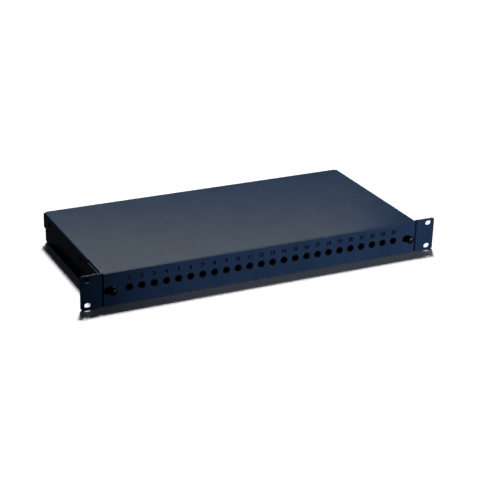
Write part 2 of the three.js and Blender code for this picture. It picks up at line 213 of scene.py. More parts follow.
def drill(obj, cutter_bm):
    """Takes the cutter's solids out of the object."""
    cutter = add_object("cutter", cutter_bm)
    boolean = obj.modifiers.new("drill", "BOOLEAN")
    boolean.operation = "DIFFERENCE"
    boolean.solver = "EXACT"
    boolean.object = cutter
    settle(obj)
    bpy.data.objects.remove(cutter)


def soften(obj, width, segments=2, angle=35):
    """Rounds the sharp edges by width millimetres and shades the rest smooth."""
    bevel = obj.modifiers.new("edges", "BEVEL")
    bevel.width = width * MM
    bevel.segments = segments
    bevel.limit_method = "ANGLE"
    bevel.angle_limit = math.radians(angle)
    bevel.harden_normals = True
    settle(obj)
    return smooth(obj)


def smooth(obj, angle=40):
    """Smooth shading up to the angle, with the large faces kept flat."""
    for polygon in obj.data.polygons:
        polygon.use_smooth = True
    obj.data.set_sharp_from_angle(angle=math.radians(angle))
    normals = obj.modifiers.new("normals", "WEIGHTED_NORMAL")
    normals.weight = 100
    normals.keep_sharp = True
    return settle(obj)


def folded_sheet(name, outline, z, folds, thick, bend, up):
    """Sheet metal: an outline in X and Y whose skin lies at z, with flanges folded up (1) or down (-1).

    A fold is (edge number, height, spread at its start, spread at its end): past the bend's relief, the flange
    reaches that much further than its fold. The thickness goes to the flanges' side.
    """
    relief = bend + 0.5
    bm = bmesh.new()
    base = [bm.verts.new(at(x, y, z)) for x, y in outline]
    main = bm.faces.new(base)
    fold_edges = []
    for index, height, spread0, spread1 in folds:
        a, b = base[index], base[(index + 1) % len(base)]
        along = (b.co - a.co).normalized()
        rise = Z * up * MM

        def vert(start, spread, level):
            return bm.verts.new(start.co + along * spread * MM + rise * level)

        corners = [a, b]
        if spread1:
            corners += [vert(b, 0, relief), vert(b, spread1, relief)]
        corners += [vert(b, spread1, height), vert(a, -spread0, height)]
        if spread0:
            corners += [vert(a, -spread0, relief), vert(a, 0, relief)]
        bm.faces.new(corners)
        fold_edges.append(bm.edges.get((a, b)))
    bmesh.ops.recalc_face_normals(bm, faces=bm.faces)
    if main.normal.z * up > 0:
        bmesh.ops.reverse_faces(bm, faces=bm.faces)
    bmesh.ops.bevel(
        bm, geom=fold_edges, offset=bend * MM, offset_type="OFFSET", segments=6, profile=0.5, affect="EDGES"
    )
    obj = add_object(name, bm)
    solid = obj.modifiers.new("thick", "SOLIDIFY")
    solid.thickness = thick * MM
    solid.offset = -1
    solid.use_even_offset = True
    return settle(obj)


def flat_plate(name, outline, holes, y0, y1, edge):
    """A plate in X and Z with holes, from y0 to y1, with its edges rounded by edge."""
    curve = bpy.data.curves.new(name, "CURVE")
    curve.dimensions = "2D"
    curve.fill_mode = "BOTH"
    curve.extrude = ((y1 - y0) / 2 - edge) * MM
    curve.bevel_depth = edge * MM
    curve.bevel_resolution = 3
    curve.offset = -edge * MM
    for points in [outline, *holes]:
        spline = curve.splines.new("POLY")
        spline.points.add(len(points) - 1)
        for point, (x, z) in zip(spline.points, points):
            point.co = (x * MM, z * MM, 0, 1)
        spline.use_cyclic_u = True
    obj = bpy.data.objects.new(name + "_curve", curve)
    bpy.context.scene.collection.objects.link(obj)
    graph = bpy.context.evaluated_depsgraph_get()
    mesh = bpy.data.meshes.new_from_object(obj.evaluated_get(graph))
    bpy.data.objects.remove(obj)
    mesh.transform(axes(at(0, (y0 + y1) / 2, 0), X, Z, -Y))
    mesh.name = name
    made = bpy.data.objects.new(name, mesh)
    bpy.context.scene.collection.objects.link(made)
    bm = bmesh.new()
    bm.from_mesh(mesh)
    bmesh.ops.remove_doubles(bm, verts=bm.verts, dist=TOUCHING)
    bmesh.ops.recalc_face_normals(bm, faces=bm.faces)
    bm.to_mesh(mesh)
    bm.free()
    return smooth(made)


def piece(obj, body, slot_name, material, *nodes):
    """Finishes a piece: its material, the body it rides on and the CAD nodes it stands for. slot_name is not
    used.
    """
    obj.data.materials.clear()
    obj.data.materials.append(material)
    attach(obj, body)
    if nodes:
        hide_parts(*nodes)


# ---------------------------------------------------------------- materials
def surface(
    name, dark, light, rough, grain, metallic=0.0, ior=1.45, mottle=45.0, depth=0.01, stretch=(1, 1, 1),
    spread=0.06, specks=None,
):
    """A finish with uneven colour and gloss, a fine surface relief and, where specks is a colour, worn specks.

    Roughness is rough, give or take spread. Mottle and grain are the noises' scales to a metre, for the uneven
    colour and for the relief, which is depth millimetres deep.
    """
    material = bpy.data.materials.new(name)
    material.use_nodes = True
    tree = material.node_tree
    shader = tree.nodes["Principled BSDF"]
    place = tree.nodes.new("ShaderNodeTexCoord")
    mapping = tree.nodes.new("ShaderNodeMapping")
    mapping.inputs["Scale"].default_value = stretch
    tree.links.new(place.outputs["Object"], mapping.inputs["Vector"])

    def noise(scale, detail, seed):
        node = tree.nodes.new("ShaderNodeTexNoise")
        node.noise_dimensions = "4D"
        node.inputs["Scale"].default_value = scale
        node.inputs["Detail"].default_value = detail
        node.inputs["W"].default_value = seed
        tree.links.new(mapping.outputs["Vector"], node.inputs["Vector"])
        return node.outputs[0]

    def ramp(factor, start, end):
        node = tree.nodes.new("ShaderNodeValToRGB")
        node.color_ramp.elements[0].position = start
        node.color_ramp.elements[1].position = end
        tree.links.new(factor, node.inputs["Fac"])
        return node

    tint = ramp(noise(mottle, 5, 1.0), 0.3, 0.7)
    tint.color_ramp.elements[0].color = (*dark, 1)
    tint.color_ramp.elements[1].color = (*light, 1)
    colour = tint.outputs["Color"]
    if specks:
        sieve = ramp(noise(grain * 0.35, 3, 5.0), 0.70, 0.78)
        mix = tree.nodes.new("ShaderNodeMixRGB")
        mix.inputs["Color2"].default_value = (*specks, 1)
        tree.links.new(sieve.outputs["Color"], mix.inputs["Fac"])
        tree.links.new(colour, mix.inputs["Color1"])
        colour = mix.outputs["Color"]
    tree.links.new(colour, shader.inputs["Base Color"])

    gloss = tree.nodes.new("ShaderNodeMapRange")
    gloss.inputs["From Min"].default_value = 0.25
    gloss.inputs["From Max"].default_value = 0.75
    gloss.inputs["To Min"].default_value = max(rough - spread, 0.02)
    gloss.inputs["To Max"].default_value = min(rough + spread, 1.0)
    tree.links.new(noise(mottle * 2.3, 6, 9.0), gloss.inputs["Value"])
    tree.links.new(gloss.outputs["Result"], shader.inputs["Roughness"])

    bump = tree.nodes.new("ShaderNodeBump")
    bump.inputs["Strength"].default_value = 0.6
    bump.inputs["Distance"].default_value = depth * MM
    tree.links.new(noise(grain, 2, 3.0), bump.inputs["Height"])
    tree.links.new(bump.outputs["Normal"], shader.inputs["Normal"])

    shader.inputs["Metallic"].default_value = metallic
    shader.inputs["IOR"].default_value = ior
    material.diffuse_color = (*light, 1)
    return material


PAINT = surface(
    "navy_paint", (0.0076, 0.0176, 0.043), (0.0096, 0.0219, 0.0533), 0.26, 1500, ior=1.13, mottle=30,
    depth=0.02, spread=0.03,
)
ZINC = surface(
    "zinc_plate", (0.50, 0.52, 0.54), (0.66, 0.67, 0.66), 0.36, 1600, metallic=1.0, mottle=90,
    stretch=(1, 0.2, 1), specks=(0.40, 0.40, 0.38),
)
BALL_STEEL = surface(
    "ball_steel", (0.60, 0.61, 0.62), (0.72, 0.72, 0.72), 0.14, 3000, metallic=1.0, depth=0.003
)
BLACK_ZINC = surface(
    "black_zinc", (0.018, 0.019, 0.021), (0.035, 0.036, 0.038), 0.36, 2200, metallic=0.6, mottle=200,
    specks=(0.10, 0.10, 0.10),
)
GLAND_NYLON = surface(
    "gland_nylon", (0.008, 0.008, 0.009), (0.014, 0.014, 0.015), 0.42, 2600, mottle=150
)
LATCH_NYLON = surface(
    "latch_nylon", (0.0016, 0.0018, 0.0024), (0.0032, 0.0035, 0.0044), 0.27, 2600, ior=1.2, mottle=200,
    depth=0.006,
)
JACK_BLACK = surface(
    "jack_plastic", (0.0010, 0.0011, 0.0013), (0.0022, 0.0023, 0.0026), 0.55, 2800, ior=1.12, mottle=160
)
CAGE_NYLON = surface("cage_nylon", (0.58, 0.57, 0.52), (0.70, 0.69, 0.64), 0.5, 2000, mottle=150)
SEAL_RUBBER = surface(
    "seal_rubber", (0.018, 0.018, 0.018), (0.028, 0.028, 0.028), 0.75, 3000, mottle=200
)
MASK_GREEN = surface(
    "solder_mask", (0.006, 0.050, 0.018), (0.010, 0.072, 0.026), 0.30, 2400, mottle=120, depth=0.006
)
TRACE_GREEN = surface(
    "covered_copper", (0.016, 0.105, 0.038), (0.024, 0.135, 0.050), 0.28, 2400, mottle=160, depth=0.006
)
TERMINAL_GREEN = surface(
    "terminal_plastic", (0.020, 0.150, 0.062), (0.028, 0.185, 0.080), 0.42, 2300, mottle=130
)
TINNED = surface(
    "tinned_metal", (0.58, 0.58, 0.57), (0.74, 0.74, 0.73), 0.30, 2600, metallic=1.0, mottle=300
)
BRASS = surface(
    "brass", (0.52, 0.34, 0.11), (0.68, 0.47, 0.17), 0.30, 2300, metallic=1.0, mottle=220,
    specks=(0.30, 0.20, 0.08),
)
INK = surface(
    "marking_ink", (0.0004, 0.0004, 0.0006), (0.001, 0.001, 0.0013), 0.6, 2400, ior=1.06, mottle=260
)


# ---------------------------------------------------------------- camera, floor and light
CAMERA_PLACE = (-721.2, -1379.9, 710.2)  # a builder's point
CAMERA_ANGLES = (26.35, 22.98, 1.57)  # degrees to the right, downwards, and of roll
LENS = 104.14  # millimetres, on a sensor 36 mm wide


def camera():
    yaw, pitch, roll = (math.radians(a) for a in CAMERA_ANGLES)
    ahead = Vector((math.sin(yaw) * math.cos(pitch), math.cos(yaw) * math.cos(pitch), -math.sin(pitch)))
    level = Vector((math.cos(yaw), -math.sin(yaw), 0))
    rise = level.cross(ahead)
    right = level * math.cos(roll) + rise * math.sin(roll)
    up = rise * math.cos(roll) - level * math.sin(roll)
    data = bpy.data.cameras.new("camera")
    data.lens = LENS
    data.sensor_width = 36
    data.clip_end = 50
    obj = bpy.data.objects.new("camera", data)
    bpy.context.scene.collection.objects.link(obj)
    obj.matrix_world = axes(at(*CAMERA_PLACE), right, up, -ahead)
    bpy.context.scene.camera = obj


def lamp(name, kind, power, place, direction, roll=0):
    """A light at place, in metres, that shines along direction and is turned about it by roll degrees."""
    data = bpy.data.lights.new(name, kind)
    data.energy = power
    obj = bpy.data.objects.new(name, data)
    bpy.context.scene.collection.objects.link(obj)
    obj.location = place
    facing = direction.to_track_quat("-Z", "Y")
    obj.rotation_euler = (facing @ Quaternion((0, 0, 1), math.radians(roll))).to_euler()
    return obj


def world():
    """A dim, bluish room, which the camera itself sees as white."""
    scene = bpy.context.scene
    scene.world = bpy.data.worlds.new("studio")
    scene.world.use_nodes = True
    tree = scene.world.node_tree
    tree.nodes.clear()
    room = tree.nodes.new("ShaderNodeBackground")
    room.inputs["Color"].default_value = (0.62, 0.72, 1.0, 1)
    room.inputs["Strength"].default_value = 0.025
    plain = tree.nodes.new("ShaderNodeBackground")
    rays = tree.nodes.new("ShaderNodeLightPath")
    plain.inputs["Color"].default_value = (1, 1, 1, 1)
    mix = tree.nodes.new("ShaderNodeMixShader")
    tree.links.new(rays.outputs["Is Camera Ray"], mix.inputs["Fac"])
    tree.links.new(room.outputs["Background"], mix.inputs[1])
    tree.links.new(plain.outputs["Background"], mix.inputs[2])
    out = tree.nodes.new("ShaderNodeOutputWorld")
    tree.links.new(mix.outputs["Shader"], out.inputs["Surface"])


def floor_finish():
    """Pale and even. It throws back less light than it shows, so that it doesn't wash out the dark paint."""
    material = surface(
        "floor_white", (0.75, 0.75, 0.75), (0.78, 0.78, 0.78), 0.6, 60, ior=1.05, mottle=2, depth=0.002
    )
    tree = material.node_tree
    shader = tree.nodes["Principled BSDF"]
    dim = tree.nodes.new("ShaderNodeBsdfDiffuse")
    dim.inputs["Color"].default_value = (0.03, 0.03, 0.03, 1)
    rays = tree.nodes.new("ShaderNodeLightPath")
    mix = tree.nodes.new("ShaderNodeMixShader")
    tree.links.new(rays.outputs["Is Camera Ray"], mix.inputs["Fac"])
    tree.links.new(dim.outputs["BSDF"], mix.inputs[1])
    tree.links.new(shader.outputs["BSDF"], mix.inputs[2])
    tree.links.new(mix.outputs["Shader"], tree.nodes["Material Output"].inputs["Surface"])
    return material


def studio():
    bpy.context.scene.view_settings.view_transform = "Standard"
    bpy.context.scene.view_settings.look = "None"
    reach = 6  # metres from the middle to the floor's edges
    drop = 0.0001  # metres that keep the floor clear of the underside
    bm = bmesh.new()
    bmesh.ops.create_grid(bm, x_segments=4, y_segments=4, size=reach)
    bmesh.ops.translate(bm, verts=bm.verts, vec=(0, 0, -drop))
    floor = add_object("floor", bm)
    floor.data.materials.append(floor_finish())

    # a soft light behind the object, whose mirror image brightens the lid
    place, target = Vector((0.25, 0.62, 0.535)), Vector((0.25, -0.10, 0.04))
    softbox = lamp("near_softbox", "AREA", 2.5, place, target - place, -8)
    softbox.data.shape = "RECTANGLE"
    softbox.data.size = 0.74
    softbox.data.size_y = 0.36
    softbox.data.color = (1, 1, 0.72)
    softbox.visible_camera = False

    # from behind and above: the shadow falls to the front
    sun = lamp("overhead_sun", "SUN", 4.8, (0, 1, 2), Vector((-0.26, -0.52, -1)))
    sun.data.angle = math.radians(8)

    # low, from the front right: it lights the front and skims the floor
    place, target = Vector((1.1, -1.9, 0.04)), Vector((0.08, -0.11, 0.02))
    spot = lamp("front_spot", "SPOT", 285, place, target - place)
    spot.data.spot_size = math.radians(15.5)
    spot.data.spot_blend = 0.8
    spot.data.shadow_soft_size = 0.06
    world()


# ---------------------------------------------------------------- case
SHEET = 1.2
GAP = 0.3  # between pieces that are fixed to each other
LATCH_Z = middle("latch_plunger_right").z  # also the height of the row of ports
LATCH_X = middle("latch_plunger_right").x
SLIVER = 0.1  # between two flanges that meet at a corner
BASE_NOTCH = 3.3  # the corners cut out of the base and the tray, so that they can be folded

# radii of holes
EAR_SCREW_HOLE = 2.3
COVER_SCREW_HOLE = 1.8
EARTH_HOLE = 2.8
GLAND_HOLE = 8.2
LATCH_HOLE = 3.6
PORT_HOLE = 4.8

# the ears' rack slots
SLOT_X = 232.5
SLOT_PITCH = 31.75
SLOT_LENGTH = 8.4
SLOT_HEIGHT = 6


def side_hole(cutter, node, radius, x):
    """A cutter along X through the sheet at x, where the node lies."""
    c = middle(node)
    prism(cutter, circle(c.y, c.z, radius, 24), along_x(x - 2, 0, 0), 4)


def base_shell():
    lo, hi = span("chassis_base")
    notch = BASE_NOTCH
    outline = [
        (lo.x, lo.y), (hi.x, lo.y), (hi.x, hi.y - notch), (hi.x - notch, hi.y - notch), (hi.x - notch, hi.y),
        (lo.x + notch, hi.y), (lo.x + notch, hi.y - notch), (lo.x, hi.y - notch),
    ]
    wall = hi.z - lo.z
    inner = notch - SHEET - SLIVER
    folds = [(1, wall, 0, notch), (4, wall, inner, inner), (7, wall, notch, 0)]
    obj = folded_sheet("base_shell", outline, lo.z, folds, SHEET, 1.8, 1)
    cutter = bmesh.new()
    for side, sign in SIDES.items():
        wall_x = sign * (hi.x - SHEET / 2)
        side_hole(cutter, "ear_screw_%s_lower" % side, EAR_SCREW_HOLE, wall_x)
        side_hole(cutter, "ear_screw_%s_upper" % side, EAR_SCREW_HOLE, wall_x)
        side_hole(cutter, "cover_screw_%s_front" % side, COVER_SCREW_HOLE, wall_x)
        side_hole(cutter, "cover_screw_%s_rear" % side, COVER_SCREW_HOLE, wall_x)
        c = middle("cable_gland_" + side)
        prism(cutter, circle(c.x, c.z, GLAND_HOLE, 40), along_y(0, hi.y - 3, 0), 5)
    c = middle("earth_screw")
    prism(cutter, circle(c.x, c.z, EARTH_HOLE, 24), along_y(0, hi.y - 3, 0), 5)
    drill(obj, cutter)
    piece(soften(obj, 0.15), "case", "case_paint", PAINT, "chassis_base")


def cover():
    lo, hi = span("top_cover")
    ear = span("rack_ear_right")[0].x
    start = 46  # where the side flanges begin, behind the ears
    slit = 1  # cut in front of each side flange, so that it can be folded
    deep = ear - 2.4
    notch = 3.2
    right = [
        (ear, lo.y), (ear, start - slit), (deep, start - slit), (deep, start), (hi.x, start),
        (hi.x, hi.y - notch), (hi.x - notch, hi.y - notch), (hi.x - notch, hi.y),
    ]
    outline = right + [(-x, y) for x, y in reversed(right)]
    inner = notch - SHEET - SLIVER
    side_flange = hi.z - lo.z
    rear_flange = 8
    folds = [(4, side_flange, 0, notch), (7, rear_flange, inner, inner), (10, side_flange, notch, 0)]
    obj = folded_sheet("cover_sheet", outline, hi.z, folds, SHEET, 1.6, -1)
    cutter = bmesh.new()
    for side, sign in SIDES.items():
        for end in ("front", "rear"):
            side_hole(cutter, "cover_screw_%s_%s" % (side, end), COVER_SCREW_HOLE, sign * (hi.x - SHEET / 2))
    drill(obj, cutter)
    piece(soften(obj, 0.18), "case", "case_paint", PAINT, "top_cover")


def rack_ear(side, sign):
    lo, hi = span("rack_ear_" + side)
    inner, outer = sorted((abs(lo.x), abs(hi.x)))
    thick = 2.0
    bend = 2.6
    section = (
        arc(inner + bend, lo.y + bend, bend, 180, 270, 8)
        + [(outer, lo.y), (outer, lo.y + thick)]
        + arc(inner + bend, lo.y + bend, bend - thick, 270, 180, 8)
        + [(inner + thick, hi.y), (inner, hi.y)]
    )
    bm = bmesh.new()
    prism(bm, [(sign * x, y) for x, y in section], along_z(0, 0, lo.z), hi.z - lo.z)
    obj = add_object("ear_bracket_" + side, bm)
    cutter = bmesh.new()
    x0, x1 = sorted((sign * (inner - 1), sign * (inner + thick + 0.3)))
    arm = rectangle(x0, x1, lo.y + 3.2, hi.y + 1)
    prism(cutter, arm, along_z(0, 0, 39.5), 6)  # the arm that lies on the side wall is lower than the ear
    prism(cutter, arm, along_z(0, 0, lo.z - 1), 3)
    corner = 3
    for z, end in ((lo.z + corner, -1), (hi.z - corner, 1)):
        rim = arc(outer - corner, z, corner, 0, end * 90, 10)
        far = z + end * (corner + 1)
        rim += [(outer - corner, far), (outer + 1, far), (outer + 1, z)]
        prism(cutter, [(sign * x, h) for x, h in rim], along_y(0, lo.y - 1, 0), 4)
    middle_z = (lo.z + hi.z) / 2
    for end in (-1, 1):
        outline = slot(sign * SLOT_X, middle_z + end * SLOT_PITCH / 2, SLOT_LENGTH, SLOT_HEIGHT)
        prism(cutter, outline, along_y(0, lo.y - 1, 0), 4)
    for level in ("lower", "upper"):
        side_hole(cutter, "ear_screw_%s_%s" % (side, level), EAR_SCREW_HOLE, sign * (inner + thick / 2))
    drill(obj, cutter)
    piece(soften(obj, 0.22), "case", "case_paint", PAINT, "rack_ear_" + side)


def cross(reach, half):
    """A cross: its arms reach that far from the middle and are twice half wide."""
    return [
        (half, half), (reach, half), (reach, -half), (half, -half), (half, -reach), (-half, -reach),
        (-half, -half), (-reach, -half), (-reach, half), (-half, half), (-half, reach), (half, reach),
    ]


def pan_screw(name, place, head, rise, shank, length):
    """A cross-recessed screw whose head, of radius head, stands by rise along place's third axis.

    The shank, of radius shank, reaches down from place's origin by length.
    """
    rim = 0.35  # the share of the rise at which the head's dome starts and the cross has its floor
    dome = []
    for degrees in range(15, 91, 15):
        t = math.radians(degrees)
        dome.append((head * math.sin(t), rise * (rim + (1 - rim) * math.cos(t))))
    thread = []
    pitch = 0.7
    for i in range(int(length / pitch) - 1):
        thread += [(shank, -0.4 - i * pitch), (shank - 0.25, -0.4 - (i + 0.5) * pitch)]
    profile = [(0, rise)] + dome + [(head, 0.1), (head - 0.1, 0), (shank, 0)] + thread
    profile += [(shank - 0.3, -length), (0, -length)]
    bm = bmesh.new()
    turned(bm, profile, place, 32)
    obj = add_object(name, bm)
    cutter = bmesh.new()
    sink = place @ Matrix.Translation((0, 0, rise * rim * MM))
    prism(cutter, cross(head * 0.55, head * 0.11), sink, rise)
    drill(obj, cutter)
    return smooth(obj, 30)


def side_screws():
    for side, sign in SIDES.items():
        for kind, ends, head, rise, shank in (
            ("ear_screw", ("lower", "upper"), 3.8, 2.2, 2.0),
            ("cover_screw", ("front", "rear"), 2.9, 1.6, 1.5),
        ):
            for end in ends:
                node = "%s_%s_%s" % (kind, side, end)
                lo, hi = span(node)
                c = (lo + hi) / 2
                seat = (hi.x if sign > 0 else -lo.x) - rise
                length = hi.x - lo.x - rise
                place = axes(at(sign * seat, c.y, c.z), Y, Z, X * sign)
                obj = pan_screw(kind + "_head_" + side + "_" + end, place, head, rise, shank, length)
                piece(obj, "case", "screw_black", BLACK_ZINC, node)


def hexagon(radius):
    return arc(0, 0, radius, 90, 450, 6)[:-1]


def lofted(bm, sections, place):
    """A closed skin over sections of (outline, distance) with the same number of points."""
    rings = [
        [bm.verts.new(place @ Vector((x * MM, y * MM, distance * MM))) for x, y in outline]
        for outline, distance in sections
    ]
    faces = [bm.faces.new(rings[0]), bm.faces.new(rings[-1])]
    for a, b in zip(rings, rings[1:]):
        for k in range(len(a)):
            j = (k + 1) % len(a)
            faces.append(bm.faces.new((a[k], a[j], b[j], b[k])))
    bmesh.ops.recalc_face_normals(bm, faces=faces)


def ribbed(radius, deep, ribs=20):
    """A round outline with grooves of that depth between its ribs."""
    steps = ribs * 4
    out = []
    for k in range(steps):
        r = radius if k % 4 in (0, 1) else radius - deep
        t = 2 * math.pi * k / steps
        out.append((r * math.cos(t), r * math.sin(t)))
    return out


NUT_RADIUS = 12.7  # of the hexagons' corners


def gland(side):
    node = "cable_gland_" + side
    c = middle(node)
    wall = span("chassis_base")[1].y
    reach = span(node)[1].y - wall
    place = along_y(c.x, wall, c.z)
    bore = 5

    bm = bmesh.new()
    crest, root, pitch = 7.9, 7.2, 1.2
    thread = []
    for i in range(7):
        thread += [(crest, -2 - i * pitch), (root, -2 - (i + 0.5) * pitch)]
    turned(bm, [(bore, GAP), (crest, GAP), (crest, -1.5)] + thread + [(root, -11), (bore, -11)], place)
    barrel = add_object("gland_barrel_" + side, bm)
    piece(smooth(barrel, 30), "case", "gland_nylon", GLAND_NYLON)

    bm = bmesh.new()
    prism(bm, hexagon(NUT_RADIUS), along_y(c.x, wall + GAP, c.z), 6.7)
    body = add_object("gland_body_" + side, bm)
    cutter = bmesh.new()
    prism(cutter, circle(0, 0, bore, 48), along_y(c.x, wall - 1, c.z), 10)
    drill(body, cutter)
    piece(soften(body, 0.7, 3, 25), "case", "gland_nylon", GLAND_NYLON, node)

    bm = bmesh.new()
    dome = [(ribbed(10.1, 0.1), 7.05), (ribbed(10.5, 0.6), 8.0), (ribbed(10.5, 0.6), 17)]
    dome += [(ribbed(10.1, 0.3), 18.8), (ribbed(9.2, 0), 20.6), (ribbed(7.9, 0), 21.6)]
    dome += [(ribbed(6.8, 0), reach)]
    lofted(bm, dome, place)
    nut = add_object("gland_cap_" + side, bm)
    cutter = bmesh.new()
    prism(cutter, circle(0, 0, bore + 0.4, 48), along_y(c.x, wall + 5, c.z), reach)
    drill(nut, cutter)
    piece(smooth(nut, 28), "case", "gland_nylon", GLAND_NYLON)

    bm = bmesh.new()
    seal = [(bore + 0.35, 12), (bore + 0.35, reach - 1.4), (bore - 0.1, reach - 1.0), (bore - 0.3, reach - 2)]
    turned(bm, seal + [(bore - 0.3, 12.6), (bore, 12)], place)
    piece(smooth(add_object("gland_seal_" + side, bm)), "case", "gland_nylon", SEAL_RUBBER)


def gland_nut(side):
    node = "gland_nut_" + side
    lo, hi = span(node)
    c = (lo + hi) / 2
    bm = bmesh.new()
    prism(bm, hexagon(NUT_RADIUS), along_y(c.x, lo.y, c.z), hi.y - lo.y)
    obj = add_object("lock_nut_" + side, bm)
    cutter = bmesh.new()
    prism(cutter, circle(0, 0, GLAND_HOLE, 48), along_y(c.x, lo.y - 1, c.z), 8)
    drill(obj, cutter)
    piece(soften(obj, 0.5, 3, 25), "case", "gland_nylon", GLAND_NYLON, node)


def earth_point():
    lo, hi = span("earth_screw")
    c = (lo + hi) / 2
    wall = span("chassis_base")[1].y + GAP
    washer = 0.6
    bm = bmesh.new()
    prism(bm, hexagon(4.6), along_y(c.x, wall + washer, c.z), hi.y - wall - washer)
    obj = add_object("earth_head", bm)
    cutter = bmesh.new()
    prism(cutter, rectangle(-6, 6, -0.5, 0.5), along_y(c.x, hi.y - 1.4, c.z), 3)
    drill(obj, cutter)
    piece(soften(obj, 0.35, 2, 25), "case", "earth_brass", BRASS, "earth_screw")
    bm = bmesh.new()
    crest, root, pitch = 2.4, 2.1, 0.7
    thread = []
    for i in range(8):
        thread += [(crest, -2.2 - i * pitch), (root, -2.2 - (i + 0.5) * pitch)]
    stem = [(0, washer), (4.5, washer), (4.5, 0.05), (4.3, 0), (crest, 0), (crest, -1.6)] + thread
    turned(bm, stem + [(1.9, lo.y - wall), (0, lo.y - wall)], along_y(c.x, wall, c.z), 32)
    piece(smooth(add_object("earth_stem", bm), 30), "case", "earth_brass", BRASS)


# ---------------------------------------------------------------- ball slides
def channel_section(sign, side_of_web, web, flange, node):
    """A C section that fills the node's box. Web and flange are the thicknesses of its back and its arms."""
    lo, hi = span(node)
    near, far = sorted((abs(lo.x), abs(hi.x)))
    back, open_end = (far, near) if side_of_web == "outer" else (near, far)
    face = back + web if back < open_end else back - web
    points = [
        (open_end, lo.z), (back, lo.z), (back, hi.z), (open_end, hi.z), (open_end, hi.z - flange),
        (face, hi.z - flange), (face, lo.z + flange), (open_end, lo.z + flange),
    ]
    return rounded([(sign * x, z) for x, z in points], 0.9)


def evenly(start, end, inset, count):
    """Places at equal distances from start to end, the first and the last of them inset from those."""
    return [start + inset + k * (end - start - 2 * inset) / (count - 1) for k in range(count)]


def slide_member(side, sign, name, node, side_of_web, body):
    lo, hi = span(node)
    bm = bmesh.new()
    section = channel_section(sign, side_of_web, SHEET, SHEET, node)
    prism(bm, section, along_y(0, lo.y, 0), hi.y - lo.y)
    obj = add_object(name + "_" + side, bm)
    cutter = bmesh.new()
    x, z = (lo.x + hi.x) / 2, (lo.z + hi.z) / 2
    for k, y in enumerate(evenly(lo.y, hi.y, 14, 5)):
        outline = slot(y, z, 9, 4.4) if k % 2 else circle(y, z, 2.2, 24)
        prism(cutter, outline, along_x(x - 10, 0, 0), 20)
    drill(obj, cutter)
    piece(soften(obj, 0.12), body, "slide_steel", ZINC, node)


def slide_cage(side, sign):
    node = "slide_cage_" + side
    body = "ball_cage_" + side
    lo, hi = span(node)
    web, flange = 1.4, 2
    bm = bmesh.new()
    prism(bm, channel_section(sign, "outer", web, flange, node), along_y(0, lo.y, 0), hi.y - lo.y)
    obj = add_object("cage_strip_" + side, bm)
    ball_x = sign * 202
    ball = 1.3  # the balls' radius
    cutter = bmesh.new()
    balls = bmesh.new()
    for z in (lo.z + flange / 2, hi.z - flange / 2):
        for y in evenly(lo.y, hi.y, 4, 10):
            prism(cutter, circle(ball_x, y, ball - 0.15, 16), along_z(0, 0, z - 2), 4)
            place = Matrix.Translation(at(ball_x, y, z))
            bmesh.ops.create_uvsphere(balls, u_segments=20, v_segments=12, radius=ball * MM, matrix=place)
    drill(obj, cutter)
    piece(smooth(obj), body, "cage_nylon", CAGE_NYLON, node)
    piece(smooth(add_object("balls_" + side, balls), 60), body, "slide_steel", BALL_STEEL)


def slide_bracket(side, sign):
    """The packing strip behind a slide, and the arm that folds in to the tab that the latch catches."""
    node = "slide_bracket_" + side
    lo, hi = span(node)
    tip, back = sorted((abs(lo.x), abs(hi.x)))
    slide_lo, slide_hi = span("slide_outer_" + side)
    face = max(abs(slide_lo.x), abs(slide_hi.x)) + GAP
    x0, x1 = sorted((sign * face, sign * back))
    strip_top = hi.z - 0.5
    bm = bmesh.new()
    outline = rounded(rectangle(slide_lo.y, slide_hi.y, lo.z, strip_top), 3)
    prism(bm, outline, along_x(x0, 0, 0), x1 - x0)
    strip = add_object("packing_strip_" + side, bm)
    cutter = bmesh.new()
    for y in evenly(slide_lo.y, slide_hi.y, 20, 3):
        prism(cutter, circle(y, (lo.z + strip_top) / 2, 2.4, 24), along_x(x0 - 1, 0, 0), x1 - x0 + 2)
    drill(strip, cutter)
    piece(soften(strip, 0.3), "case", "slide_steel", ZINC, node)

    bend = 2.2
    rear = 14
    half = 6.5  # of the arm's height
    section = (
        [(tip, lo.y)] + arc(back - bend, lo.y + bend, bend, 270, 360, 8)
        + [(back, rear), (back - SHEET, rear)]
        + arc(back - bend, lo.y + bend, bend - SHEET, 360, 270, 8) + [(tip, lo.y + SHEET)]
    )
    bm = bmesh.new()
    prism(bm, [(sign * x, y) for x, y in section], along_z(0, 0, LATCH_Z - half), 2 * half)
    arm = add_object("catch_arm_" + side, bm)
    cutter = bmesh.new()
    prism(cutter, circle(sign * LATCH_X, LATCH_Z, LATCH_HOLE), along_y(0, lo.y - 1, 0), 4)
    drill(arm, cutter)
    piece(soften(arm, 0.15), "case", "slide_steel", ZINC)


# ---------------------------------------------------------------- drawer
PORTS = 24
PORT_X = {i: middle("jack_socket_%02d" % i).x for i in range(1, PORTS + 1)}


def front():
    lo, hi = span("front_panel")
    holes = [circle(x, LATCH_Z, PORT_HOLE, 56) for x in PORT_X.values()]
    for sign in SIDES.values():
        holes.append(circle(sign * LATCH_X, LATCH_Z, LATCH_HOLE, 40))
    outline = rounded(rectangle(lo.x, hi.x, lo.z, hi.z), 0.6)
    obj = flat_plate("drawer_front", outline, holes, lo.y, hi.y, 0.25)
    piece(obj, "drawer", "panel_paint", PAINT, "front_panel")


